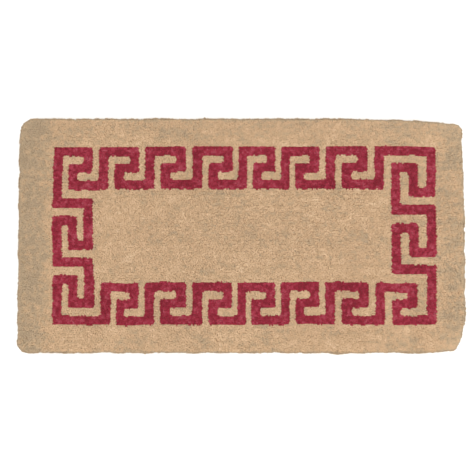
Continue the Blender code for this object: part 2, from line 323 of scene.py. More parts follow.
@dataclass(frozen=True)
class CutPile:
    """Coir (coconut husk fibre), spun, woven as tufts and cut to a level brush.

    The cut ends give a dry, matt surface of fine speckle. The map's u is a fibre's own shade and its v
    is the height along it, so the colour belongs to the fibre and not to the place. Painted shade
    darkens the colour down the v, so it is lighter at the tips and quickly darker between them.
    """

    name: str
    shades: Stops
    painted_depth_shade: Stops
    sheen: float = 0.08

    def material(self) -> bpy.types.Material:
        """The material of this finish."""
        material, add, shader = start_material(self.name)
        parts = add("ShaderNodeSeparateXYZ", {"Vector": add("ShaderNodeUVMap", uv_map=MAP_NAME)})
        height = parts.outputs["Y"]
        shade = add("ShaderNodeValToRGB", {"Fac": parts}, self.shades)
        # Painted shade: the colour darkens down each fibre towards its foot, as the shade between the
        # fibres.
        depth = add("ShaderNodeValToRGB", {"Fac": height}, self.painted_depth_shade)
        layers = {"Factor": 1.0, "A": shade, "B": depth}
        colour = add("ShaderNodeMix", layers, data_type="RGBA", blend_type="MULTIPLY")
        # A cut end is a little smoother than the hairy side of a fibre.
        rough = add("ShaderNodeMapRange", {"Value": height, "To Min": 0.96, "To Max": 0.8})
        shader({"Base Color": colour, "Roughness": rough, "IOR": 1.46, "Specular IOR Level": 0.2})
        shader({"Sheen Weight": self.sheen, "Sheen Roughness": 0.6})
        return material


@dataclass(frozen=True)
class SpunYarn:
    """Coir spun and laid into yarn, braid or twine.

    The spinning gives long streaks of light and dark fibre that run with the strand, and a hairy,
    matt surface. The map's u goes once round a strand and its v runs along it. Fibres of 0.3 mm are
    too fine to show, so the streaks are drawn about three fibres wide.
    """

    name: str
    shades: Stops
    streaks: float
    runs: float = 3.0
    relief: float = 0.35

    def material(self) -> bpy.types.Material:
        """The material of this finish."""
        material, add, shader = start_material(self.name)
        strand = add("ShaderNodeUVMap", uv_map=MAP_NAME)
        scale = (self.streaks, self.runs, 1.0)
        stretched = add("ShaderNodeMapping", {"Vector": strand, "Scale": scale})
        fibres = add("ShaderNodeTexNoise", {"Vector": stretched, "Scale": 1.0, "Detail": 3.0})
        shade = add("ShaderNodeValToRGB", {"Fac": fibres}, self.shades)
        rough = add("ShaderNodeMapRange", {"Value": fibres, "To Min": 0.95, "To Max": 0.78})
        relief = {"Strength": self.relief, "Distance": 0.0004, "Height": fibres}
        shader({"Base Color": shade, "Roughness": rough, "Normal": add("ShaderNodeBump", relief)})
        shader({"IOR": 1.46, "Specular IOR Level": 0.2})
        return material


@dataclass(frozen=True)
class StudioFloor:
    """Matt white painted board: an even, pale surface with a faint rolled mottle."""

    name: str = "matt_white_board"
    shades: Stops = ((0.0, "#f4f4f2"), (1.0, "#fbfbfa"))

    def material(self) -> bpy.types.Material:
        """The material of this finish."""
        material, add, shader = start_material(self.name)
        spot = add("ShaderNodeTexCoord").outputs["Object"]
        mottle = add("ShaderNodeTexNoise", {"Vector": spot, "Scale": 40.0, "Detail": 2.0})
        shade = add("ShaderNodeValToRGB", {"Fac": mottle}, self.shades)
        shader({"Base Color": shade, "Roughness": 0.9, "Specular IOR Level": 0.1})
        return material


# Painted shade between the fibres, multiplied into the pile's colour by the map's v: darkest at the
# feet, white at the tips.
PILE_PAINTED_DEPTH_SHADE = ((0.0, "#b3a797"), (0.4, "#e8e2d9"), (0.75, "#ffffff"))
PILES = {
    Dye.UNDYED: CutPile(
        "undyed_coir_cut_pile",
        # Its darkest, greyer stops are reached by the painted shade of the rim, the fringe and the
        # left edge, and by the odd tuft of older husk.
        ((0.0, "#847868"), (0.2, "#baa487"), (0.5, "#ceae8b"), (0.8, "#dcc09e"), (1.0, "#ead6ba")),
        PILE_PAINTED_DEPTH_SHADE,
    ),
    Dye.RED: CutPile(
        "red_dyed_coir_cut_pile",
        ((0.0, "#7a1828"), (0.3, "#932236"), (0.5, "#a02c40"), (0.75, "#ac3d50"), (1.0, "#ba606e")),
        PILE_PAINTED_DEPTH_SHADE,
    ),
}
WARP_YARN = SpunYarn(
    "coir_yarn_spun_and_plaited", ((0.25, "#6d4a2c"), (0.5, "#a27a4e"), (0.75, "#c9a577")), 12.0
)
WEFT_YARN = SpunYarn(
    "coir_yarn_spun_and_beaten_close",
    ((0.25, "#62432a"), (0.5, "#946d45"), (0.75, "#b8926a")),
    10.0,
)
EDGE_BRAID = SpunYarn(
    "coir_strand_laid_and_braided", ((0.25, "#7a5533"), (0.5, "#b08a5b"), (0.75, "#d3b387")), 14.0
)
LASHING_TWINE = SpunYarn(
    "coir_twine_two_ply_laid", ((0.25, "#5b3d24"), (0.5, "#8a643c"), (0.75, "#b18b5d")), 6.0
)


# ---------------------------------------------------------------- the mat's own shape


def within(values: np.ndarray, zone: Zone) -> np.ndarray:
    """1 inside a zone and 0 outside it, with a smooth step at either end."""
    return rise(values, zone[0], zone[1]) * (1 - rise(values, zone[2], zone[3]))


def margin_share(values: np.ndarray, inner: float, outer: float) -> np.ndarray:
    """0 at a margin's inner edge and 1 at its outer one, rising ever faster between them."""
    return np.clip((values - inner) / (outer - inner), 0, 1) ** 2


def wandered(spots: np.ndarray, wanders: Wanders) -> np.ndarray:
    """How far the rows stray at each spot along them."""
    return sum(shift * np.exp(-(((spots - at) / spread) ** 2)) for at, spread, shift in wanders)


@dataclass(frozen=True)
class MatPlan:
    """The mat's overall sizes, read from the frame, and how its hand-cut shape strays from them."""

    half_length: float
    half_width: float
    height: float
    key_left: float
    key_right: float
    key_back: float
    key_front: float
    corner_radius: float = 0.030
    # How far from the middle the key's rows and columns lie.
    both_rows: Zone = (0.05, 0.12, 0.25, 0.31)
    back_row: Zone = (0.10, 0.16, 0.25, 0.31)
    front_row: Zone = (0.10, 0.13, 0.25, 0.31)
    left_columns: Zone = (0.37, 0.40, 0.51, 0.58)
    right_columns: Zone = (0.37, 0.40, 0.53, 0.59)
    # The key's turns lean right and left of their even places along both rows.
    along_rows: Wanders = ((-0.085, 0.090, 0.0060), (0.190, 0.110, -0.0080), (0.370, 0.035, 0.0030))
    along_back_row: Wanders = (
        (-0.405, 0.045, -0.0023),
        (0.015, 0.070, 0.0022),
        (0.320, 0.080, -0.0012),
    )
    along_front_row: Wanders = (
        (-0.360, 0.040, 0.0078),
        (0.040, 0.060, -0.0026),
        (0.250, 0.050, -0.0034),
        (0.458, 0.026, -0.0065),
    )
    across_back_row: Wanders = (
        (0.330, 0.120, 0.0030),
        (0.000, 0.180, 0.0022),
        (-0.150, 0.110, 0.0016),
        (0.440, 0.050, 0.0015),
    )
    across_front_row: Wanders = (
        (-0.310, 0.045, -0.0032),
        (-0.010, 0.070, -0.0013),
        (0.195, 0.040, 0.0018),
        (0.415, 0.050, -0.0018),
    )
    down_left_columns: Wanders = ((0.000, 0.140, -0.0048), (-0.140, 0.040, -0.0015))
    down_right_columns: Wanders = (
        (0.090, 0.070, 0.0030),
        (0.010, 0.045, -0.0030),
        (-0.140, 0.060, -0.0014),
    )
    beside_left_columns: Wanders = ((0.050, 0.090, -0.0032),)
    beside_right_columns: Wanders = ((-0.180, 0.060, -0.0022), (0.105, 0.040, -0.0012))

    @classmethod
    def from_frame(cls) -> "MatPlan":
        """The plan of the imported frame."""
        ends = [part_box(name)[1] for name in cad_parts]
        half_length, half_width, height = (max(end[axis] for end in ends) for axis in range(3))
        left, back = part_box("key_corner_back_left")[0].x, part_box("key_corner_back_left")[1].y
        right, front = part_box("key_corner_front_right")[1].x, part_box("key_corner_front_right")[0].y
        return cls(half_length, half_width, height, left, right, back, front)

    def depth_in(self, places: np.ndarray) -> np.ndarray:
        """How far inside the drawn outline each place is, below 0 outside it."""
        over_x = np.abs(places[:, 0]) - (self.half_length - self.corner_radius)
        over_y = np.abs(places[:, 1]) - (self.half_width - self.corner_radius)
        beyond = np.hypot(np.maximum(over_x, 0), np.maximum(over_y, 0))
        return self.corner_radius - beyond - np.minimum(np.maximum(over_x, over_y), 0)

    def outwards(self, places: np.ndarray) -> np.ndarray:
        """The direction to the nearest part of the drawn outline from each place, as x and y."""
        step = 1e-4
        slope = [
            self.depth_in(places - shift) - self.depth_in(places + shift)
            for shift in (np.array([step, 0, 0]), np.array([0, step, 0]))
        ]
        pair = np.stack(slope, axis=1)
        return pair / np.maximum(np.linalg.norm(pair, axis=1, keepdims=True), 1e-12)

    def rim_line(self, depth: float, pitch: float) -> np.ndarray:
        """Even places along a line inside the drawn outline.

        Args:
            depth: how far inside it is.
            pitch: about how far apart they are.

        Returns:
            One place a row, level with the tread.
        """
        radius = self.corner_radius - depth
        x, y = self.half_length - self.corner_radius, self.half_width - self.corner_radius
        points = []
        steps = 24
        for cx, cy, start in ((x, y, 0), (-x, y, 90), (-x, -y, 180), (x, -y, 270)):
            for k in range(steps + 1):
                angle = math.radians(start + 90 * k / steps)
                points.append((cx + radius * math.cos(angle), cy + radius * math.sin(angle)))
        loop = np.array([*points, points[0]])
        run = np.concatenate([[0], np.cumsum(np.hypot(*np.diff(loop, axis=0).T))])
        count = round(run[-1] / pitch)
        spots = (np.arange(count) + 0.5) * run[-1] / count
        level = [np.interp(spots, run, loop[:, axis]) for axis in (0, 1)]
        return np.stack([*level, np.full(count, self.height)], axis=1)

    def laid(self, places: np.ndarray) -> np.ndarray:
        """Moves places from the drawn pattern to where they lie on the hand-made mat.

        The rows wander inside the key's border, and the trimmed edge waves a little. The back
        right corner droops and the front right one is cut back.

        Args:
            places: one place a row, as drawn.

        Returns:
            The same places as they lie.
        """
        x, y = places[:, 0], places[:, 1]
        in_back_row, in_front_row = within(y, self.back_row), within(-y, self.front_row)
        in_left_columns = within(-x, self.left_columns)
        in_right_columns = within(x, self.right_columns)
        to_side = within(np.abs(y), self.both_rows) * wandered(x, self.along_rows)
        to_side += in_back_row * wandered(x, self.along_back_row)
        to_side += in_front_row * wandered(x, self.along_front_row)
        to_side += in_left_columns * wandered(y, self.beside_left_columns)
        to_side += in_right_columns * wandered(y, self.beside_right_columns)
        to_back = in_back_row * wandered(x, self.across_back_row)
        to_back += in_front_row * wandered(x, self.across_front_row)
        to_back += in_left_columns * wandered(y, self.down_left_columns)
        to_back += in_right_columns * wandered(y, self.down_right_columns)
        waves_x = 0.0007 * np.sin(x * 41 + 1) + 0.0006 * np.sin(x * 97 + 2)
        waves_y = 0.0007 * np.sin(y * 47 + 3) + 0.0006 * np.sin(y * 103)
        back_cut = 0.004 * rise(x, 0.30, 0.41) + 0.010 * rise(x, 0.46, 0.57)
        back_cut += 0.003 * rise(-x, 0.555, 0.60) + 0.0009 + waves_x
        front_cut = 0.006 * rise(x, 0.50, 0.575) + 0.0005 - waves_x
        front_cut -= 0.0035 * np.exp(-(((x - 0.258) / 0.03) ** 2))
        right_cut = 0.004 * rise(y, 0.10, 0.25) + 0.010 * rise(-y, 0.222, 0.262)
        right_cut += 0.010 * rise(-y, 0.262, 0.31) - 0.0006 + waves_y
        left_cut = 0.005 * rise(y, 0.25, 0.31) + 0.0004 - waves_y
        to_side -= margin_share(x, self.key_right, self.half_length) * right_cut
        to_side += margin_share(-x, -self.key_left, self.half_length) * left_cut
        to_back -= margin_share(y, self.key_back, self.half_width) * back_cut
        to_back += margin_share(-y, -self.key_front, self.half_width) * front_cut
        moved = places.copy()
        moved[:, 0] += to_side
        moved[:, 1] += to_back
        return moved

    def lay(self, shape: bpy.types.Mesh) -> None:
        """Moves a mesh from the drawn pattern to where it lies on the hand-made mat."""
        place_vertices(shape, self.laid(vertex_places(shape)))


# ---------------------------------------------------------------- bundles that are planted


@dataclass
class Bundle:
    """A small closed mesh of fibres, built spike by spike, with a strand map."""

    corners: list = field(default_factory=list)
    faces: list = field(default_factory=list)
    strands: list = field(default_factory=list)

    @property
    def triangles(self) -> int:
        """How many triangles it has."""
        return sum(len(face) - 2 for face in self.faces)

    def add_rod(
        self,
        ends: tuple[np.ndarray, np.ndarray],
        radii: tuple[float, float],
        shade: float,
        heights: tuple[float, float],
        turn: float,
        slant: float = 0.0,
    ) -> None:
        """Adds a three-sided fibre. An end with no radius is a point.

        Args:
            ends: the lower and the upper end.
            radii: the radius at each end.
            shade: how far the fibre's shade is from its tuft's.
            heights: the map's v at each end, which sets the pile's painted depth shade.
            turn: the angle of its first side.
            slant: how far the upper end's cut slopes.
        """
        rings = []
        for end, radius, height, slope in zip(ends, radii, heights, (0.0, slant)):
            first = len(self.corners)
            sides = 3 if radius > 0 else 1
            for k in range(sides):
                angle = turn + 2 * math.pi * k / 3
                aside = radius * spoke(angle)
                aside[2] = slope * math.cos(angle - turn - 0.7)
                self.corners.append(end + aside if sides == 3 else end)
                self.strands.append((shade + 0.006 * (k - 1), height + (0.03 if k == 1 else 0)))
            rings.append(list(range(first, first + sides)))
        lower, upper = rings
        if len(lower) == 3:
            self.faces.append(lower[::-1])
        if len(upper) == 3:
            self.faces.append(upper)
        for k in range(3):
            a, b = lower[k % len(lower)], lower[(k + 1) % 3 % len(lower)]
            c, d = upper[(k + 1) % 3 % len(upper)], upper[k % len(upper)]
            self.faces.append(list(dict.fromkeys([a, b, c, d])))

    def add_heart(self, low: float, high: float, radius: float) -> None:
        """Adds the tuft's packed middle, which closes the gaps between its fibres.

        Args:
            low: the height of its foot.
            high: the height of its peak.
            radius: its foot's radius.
        """
        first = len(self.corners)
        # Painted shade: the foot's low v takes the dark end of the depth shade, and the peak's v of
        # 0.72 takes almost none.
        for k in range(3):
            self.corners.append(radius * spoke(2 * math.pi * k / 3) + [0, 0, low])
            self.strands.append((0.02 * (k - 1), 0.10 + 0.05 * (k % 2)))
        self.corners.append(np.array([0.0, 0.0, high]))
        self.strands.append((0.0, 0.72))
        self.faces.append([first + 2, first + 1, first])
        self.faces += [[first + k, first + (k + 1) % 3, first + 3] for k in range(3)]

    def as_object(self, name: str) -> bpy.types.Object:
        """The bundle as an object that isn't in the scene."""
        shape = bpy.data.meshes.new(name)
        shape.from_pydata([tuple(c) for c in self.corners], [], self.faces, shade_flat=False)
        store_map(shape, STRAND_MAP, np.array(self.strands)[read(shape.loops, "vertex_index")])
        return bpy.data.objects.new(name, shape)


@dataclass(frozen=True)
class TuftPlan:
    """One tuft of cut pile. The tips are level with its origin.

    Real fibres are about 0.3 mm thick and over a hundred to the tuft. At that size they would be
    lost, so each one drawn stands for about twenty.
    """

    cut_fibres: int = 4
    loose_fibres: int = 2
    reach: float = 0.0021
    cut_radius: float = 0.0013
    cut_drop: float = 0.0007
    loose_radius: float = 0.00042
    loose_length: float = 0.0055
    length: float = 0.010
    heart_peak: float = -0.0013
    heart_radius: float = 0.0044

    def bundle(self, seed: int) -> Bundle:
        """The tuft with this plan that a seed gives."""
        rng = np.random.default_rng(seed)
        tuft = Bundle()
        tuft.add_heart(-self.length, self.heart_peak, self.heart_radius)
        first = rng.uniform(0, 2 * math.pi)
        for i in range(self.cut_fibres):
            angle = first + 2 * math.pi * i / self.cut_fibres + rng.uniform(-0.4, 0.4)
            out = self.reach * rng.uniform(0.45, 0.85)
            drop = rng.uniform(0.0, self.cut_drop)
            head = out * spoke(angle)
            root = head * rng.uniform(0.25, 0.5) + np.array([0, 0, -self.length])
            # Painted shade: v runs from 0 at the root, darkest, to 0.97 at the cut end, a little lower
            # where the end is cut lower.
            tuft.add_rod(
                (root, head - [0, 0, drop]),
                (0.0, self.cut_radius * rng.uniform(0.8, 1.2)),
                rng.uniform(-0.07, 0.07),
                (0.0, 0.97 - drop * 70),
                rng.uniform(0, 6.3),
                rng.uniform(0, 0.0003),
            )
        for i in range(self.loose_fibres):
            # A loose fibre bends over and lies across its neighbours' cut ends.
            angle = first + 2 * math.pi * (i + 0.5) / self.loose_fibres + rng.uniform(-0.6, 0.6)
            steep = math.radians(rng.uniform(22, 60))
            side = spoke(angle)
            along = side * math.cos(steep) + np.array([0, 0, math.sin(steep)])
            tip = side * self.reach * rng.uniform(0.5, 1.5)
            tip[2] = rng.uniform(-0.0002, 0.0004)
            # Painted shade: its v runs from 0.45 to 0.97, so it is only lightly darkened.
            tuft.add_rod(
                (tip - along * self.loose_length * rng.uniform(0.7, 1.1), tip),
                (self.loose_radius * rng.uniform(0.8, 1.3), 0.0),
                rng.uniform(-0.12, 0.15),
                (0.45, 0.97),
                rng.uniform(0, 6.3),
            )
        return tuft


@dataclass(frozen=True)
class FringePlan:
    """A clump of the long fibres that show on the mat's side. Its +X is outwards."""

    fibres: int = 10
    width: float = 0.0058
    radius: float = 0.00074
    length: float = 0.0235

    def bundle(self, seed: int) -> Bundle:
        """The clump with this plan that a seed gives."""
        rng = np.random.default_rng(seed)
        clump = Bundle()
        for i in range(self.fibres):
            across = self.width * ((i + rng.uniform(0.1, 0.9)) / self.fibres - 0.5)
            out = rng.uniform(-0.0009, 0.0007)
            foot = np.array([out - 0.0006, across + rng.normal() * 0.0007, 0.0])
            foot[2] = -self.length - rng.uniform(-0.0030, 0.0026)
            head = np.array([out + rng.uniform(-0.0002, 0.0020), across, 0.0])
            head[1] += rng.normal() * 0.0008
            head[2] = -rng.uniform(0.0, 0.0030)
            wide = self.radius * rng.uniform(0.7, 1.2)
            # Painted shade: v runs only from 0.2 to 0.66, so the fringe on the rim's side is darkened
            # all along.
            clump.add_rod(
                (foot, head),
                (wide, 0.0) if i % 3 == 0 else (0.0, wide),
                rng.uniform(-0.15, 0.15),
                (0.2, 0.66),
                rng.uniform(0, 6.3),
                rng.uniform(0, 0.0005),
            )
        return clump


def bundle_store(name: str, bundles: list[Bundle]) -> bpy.types.Collection:
    """Keeps bundles, in order, in a collection of this name outside the scene."""
    store = bpy.data.collections.new(name)
    for i, bundle in enumerate(bundles):
        store.objects.link(bundle.as_object(f"{name}_{i:02d}"))
    return store


def planting_tree() -> bpy.types.NodeTree:
    """The tree that plants a bundle on each point, turned, leant and sized by the point's facts."""
    named = {"Geometry": "Geometry", "Bundles": "Collection", "Core": "Object"}
    named |= {"Finish": "Material", "Spin Jitter": "Float", "Tone Share": "Float", "Seed": "Int"}
    tree, given = start_tree("planted_bundles", named)
    add = partial(add_node, tree)
    facts = {
        label: add("GeometryNodeInputNamedAttribute", {"Name": label}, data_type=kind)
        for label, kind in PLANTED_FACTS.items()
    }
    most = given["Spin Jitter"]
    least = add("ShaderNodeMath", {0: most, 1: -1.0}, operation="MULTIPLY")
    limits = {"Min": least, "Max": most, "Seed": given["Seed"]}
    jitter = add("FunctionNodeRandomValue", limits, data_type="FLOAT")
    spin = add("ShaderNodeMath", {0: facts["spin"], 1: jitter}, operation="ADD")
    upright = add("ShaderNodeCombineXYZ", {"Z": spin})
    turned = add("FunctionNodeEulerToRotation", {"Euler": upright})
    leant = add("FunctionNodeEulerToRotation", {"Euler": facts["lean"]})
    turns = {"Rotation": turned, "Rotate By": leant}
    both = add("FunctionNodeRotateRotation", turns, rotation_space="GLOBAL")
    apart = {"Collection": given["Bundles"], "Separate Children": True, "Reset Children": True}
    planted = add(
        "GeometryNodeInstanceOnPoints",
        {
            "Points": given["Geometry"],
            "Instance": add("GeometryNodeCollectionInfo", apart),
            "Pick Instance": True,
            "Instance Index": facts["shape"],
            "Rotation": both,
            "Scale": facts["stretch"],
        },
    )
    real = add("GeometryNodeRealizeInstances", {"Geometry": planted})
    strand = add("ShaderNodeSeparateXYZ", {"Vector": facts[STRAND_MAP]})
    shades = {0: facts["tone"], 1: given["Tone Share"], 2: strand}
    shade = add("ShaderNodeMath", shades, operation="MULTIPLY_ADD")
    place = add("ShaderNodeCombineXYZ", {"X": shade, "Y": strand.outputs["Y"]})
    fact = {"Geometry": real, "Name": MAP_NAME, "Value": place}
    mapped = add("GeometryNodeStoreNamedAttribute", fact, data_type="FLOAT2", domain="CORNER")
    core = add("GeometryNodeObjectInfo", {"Object": given["Core"]})
    joined = add("GeometryNodeJoinGeometry", {"Geometry": core.outputs["Geometry"]})
    set_inputs(tree, joined, {"Geometry": mapped})
    finish_tree(tree, joined, given["Finish"])
    return tree


def strand_tree() -> bpy.types.NodeTree:
    """The tree that lays or braids several strands along a path.

    Each strand swings from side to side by Spread and up and down by Rise. With a Harmonic of 1 and
    a quarter turn between the two swings the strands are laid as a cord, and with a Harmonic of 2
    they pass over and under each other as a flat braid.
    """
    numbers = ("Strand Radius", "Pitch", "Spread", "Rise", "Harmonic", "Rise Lead", "Step")
    named = {"Geometry": "Geometry", "Strands": "Int", "Sides": "Int", "Finish": "Material"}
    tree, given = start_tree("laid_strands", named | dict.fromkeys(numbers, "Float"))
    add = partial(add_node, tree)
    steps = {"Curve": given["Geometry"], "Length": given["Step"]}
    even = add("GeometryNodeResampleCurve", steps, mode="LENGTH")
    amount = {"Geometry": even, "Amount": given["Strands"]}
    copies = add("GeometryNodeDuplicateElements", amount, domain="SPLINE")
    fact = {"Geometry": copies, "Name": "strand_no", "Value": copies.outputs["Duplicate Index"]}
    numbered = add("GeometryNodeStoreNamedAttribute", fact, data_type="FLOAT", domain="CURVE")
    spot = add("GeometryNodeSplineParameter")
    length = spot.outputs["Length"]
    fact = {"Geometry": numbered, "Name": "along", "Value": length}
    measured = add("GeometryNodeStoreNamedAttribute", fact, data_type="FLOAT", domain="POINT")
    number = add("GeometryNodeInputNamedAttribute", {"Name": "strand_no"}, data_type="FLOAT")
    turns = add("ShaderNodeMath", {0: length, 1: given["Pitch"]}, operation="DIVIDE")
    share = add("ShaderNodeMath", {0: number, 1: given["Strands"]}, operation="DIVIDE")
    both = add("ShaderNodeMath", {0: turns, 1: share}, operation="ADD")
    angle = add("ShaderNodeMath", {0: both, 1: 2 * math.pi}, operation="MULTIPLY")
    swing = add("ShaderNodeMath", {0: angle}, operation="SINE")
    lead = {0: angle, 1: given["Harmonic"], 2: given["Rise Lead"]}
    led = add("ShaderNodeMath", lead, operation="MULTIPLY_ADD")
    lift = add("ShaderNodeMath", {0: led}, operation="SINE")
    aside = add("ShaderNodeMath", {0: swing, 1: given["Spread"]}, operation="MULTIPLY")
    above = add("ShaderNodeMath", {0: lift, 1: given["Rise"]}, operation="MULTIPLY")
    normal, tangent = add("GeometryNodeInputNormal"), add("GeometryNodeInputTangent")
    upwards = add("ShaderNodeVectorMath", {0: normal, 1: tangent}, operation="CROSS_PRODUCT")
    sideways = add("ShaderNodeVectorMath", {"Vector": normal, "Scale": aside}, operation="SCALE")
    lifted = add("ShaderNodeVectorMath", {"Vector": upwards, "Scale": above}, operation="SCALE")
    offset = add("ShaderNodeVectorMath", {0: sideways, 1: lifted}, operation="ADD")
    swung = add("GeometryNodeSetPosition", {"Geometry": measured, "Offset": offset})
    sizes = {"Resolution": given["Sides"], "Radius": given["Strand Radius"]}
    ring = add("GeometryNodeCurvePrimitiveCircle", sizes, mode="RADIUS")
    fact = {"Geometry": ring, "Name": "around", "Value": spot.outputs["Factor"]}
    profile = add("GeometryNodeStoreNamedAttribute", fact, data_type="FLOAT", domain="POINT")
    sweep = {"Curve": swung, "Profile Curve": profile, "Fill Caps": True}
    finish_tree(tree, add("GeometryNodeCurveToMesh", sweep), given["Finish"])
    return tree


def map_strands(shape: bpy.types.Mesh, patch: float) -> None:
    """Gives a swept strand its map: once round it in u, and to and fro along it in v.

    Args:
        shape: the swept mesh, with its strand facts.
        patch: the length of strand that v covers before it turns back.
    """
    corner = read(shape.loops, "vertex_index")
    along, around, strand_no = (
        read(shape.attributes[label].data, "value", float)[corner] for label in STRAND_FACTS
    )
    starts, sizes = read(shape.polygons, "loop_start"), read(shape.polygons, "loop_total")
    most = np.repeat(np.maximum.reduceat(around, starts), sizes)
    around = np.where((most - around) > 0.5, around + 1, around)
    fold = np.abs(np.mod(along / patch + 0.37 * strand_no, 2) - 1)
    store_map(shape, MAP_NAME, np.stack([np.clip(around, 0, 1), 0.01 + 0.98 * fold], axis=1))


def path_object(name: str, points: np.ndarray, closed: bool, smooth: bool) -> bpy.types.Object:
    """A path for strands to follow.

    Args:
        name: the object's name.
        points: one point of the path a row.
        closed: whether it ends where it starts.
        smooth: whether it rounds its corners.

    Returns:
        The curve's object, in the scene.
    """
    data = bpy.data.curves.new(name, "CURVE")
    data.dimensions = "3D"
    spline = data.splines.new("BEZIER" if smooth else "POLY")
    knots = spline.bezier_points if smooth else spline.points
    knots.add(len(points) - 1)
    for knot, place in zip(knots, points):
        knot.co = place if smooth else (*place, 1)
        if smooth:
            knot.handle_left_type = knot.handle_right_type = "AUTO"
    spline.use_cyclic_u = closed
    return in_scene(name, data)


# ---------------------------------------------------------------- sub-assemblies


@dataclass
class Workshop:
    """What every sub-assembly shares: the plan, the trees and how a piece is made of them."""

    plan: MatPlan
    planting: bpy.types.NodeTree
    strands: bpy.types.NodeTree
    triangles: int = 0

    def hand_in(self, piece: bpy.types.Object, node: str, slot: str) -> None:
        """Puts a finished piece in the place of its part of the frame.

        Args:
            piece: the finished mesh object.
            node: the part of the frame that it stands for.
            slot: the record's material slot that it is finished in; not used.
        """
        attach(piece, "root")
        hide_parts(node)
        count = sum(len(p.vertices) - 2 for p in piece.data.polygons)
        self.triangles += count
        LOG.info("%s: %d triangles, stands for %s", piece.name, count, node)

    def planted(self, name: str, tips: np.ndarray, facts: dict, given: dict) -> bpy.types.Object:
        """Plants bundles on points.

        Args:
            name: the piece's name.
            tips: the points, one a row.
            facts: an array of values for each fact's name.
            given: a value for each of the planting tree's inputs.

        Returns:
            The piece, as a plain mesh.
        """
        piece = in_scene(name, point_mesh(name, tips, facts))
        feed(piece, self.planting, given)
        piece = made_plain(piece)
        drop_facts(piece.data, PLANTED_FACTS)
        return piece

    def lay_cord(
        self, path: bpy.types.Object, node: str, slot: str, patch: float, given: dict
    ) -> None:
        """Lays or braids strands along a path, and puts them in the place of their part of the frame.

        Args:
            path: the path, as drawn.
            node: the part of the frame that the cord stands for.
            slot: the record's material slot that it is finished in.
            patch: the length of strand that the map's v covers before it turns back.
            given: a value for each of the strand tree's inputs but those of a flat braid of three.
        """
        feed(path, self.strands, {"Strands": 3, "Harmonic": 2.0, "Rise Lead": 0.0} | given)
        piece = made_plain(path)
        map_strands(piece.data, patch)
        drop_facts(piece.data, STRAND_FACTS)
        self.plan.lay(piece.data)
        self.hand_in(piece, node, slot)


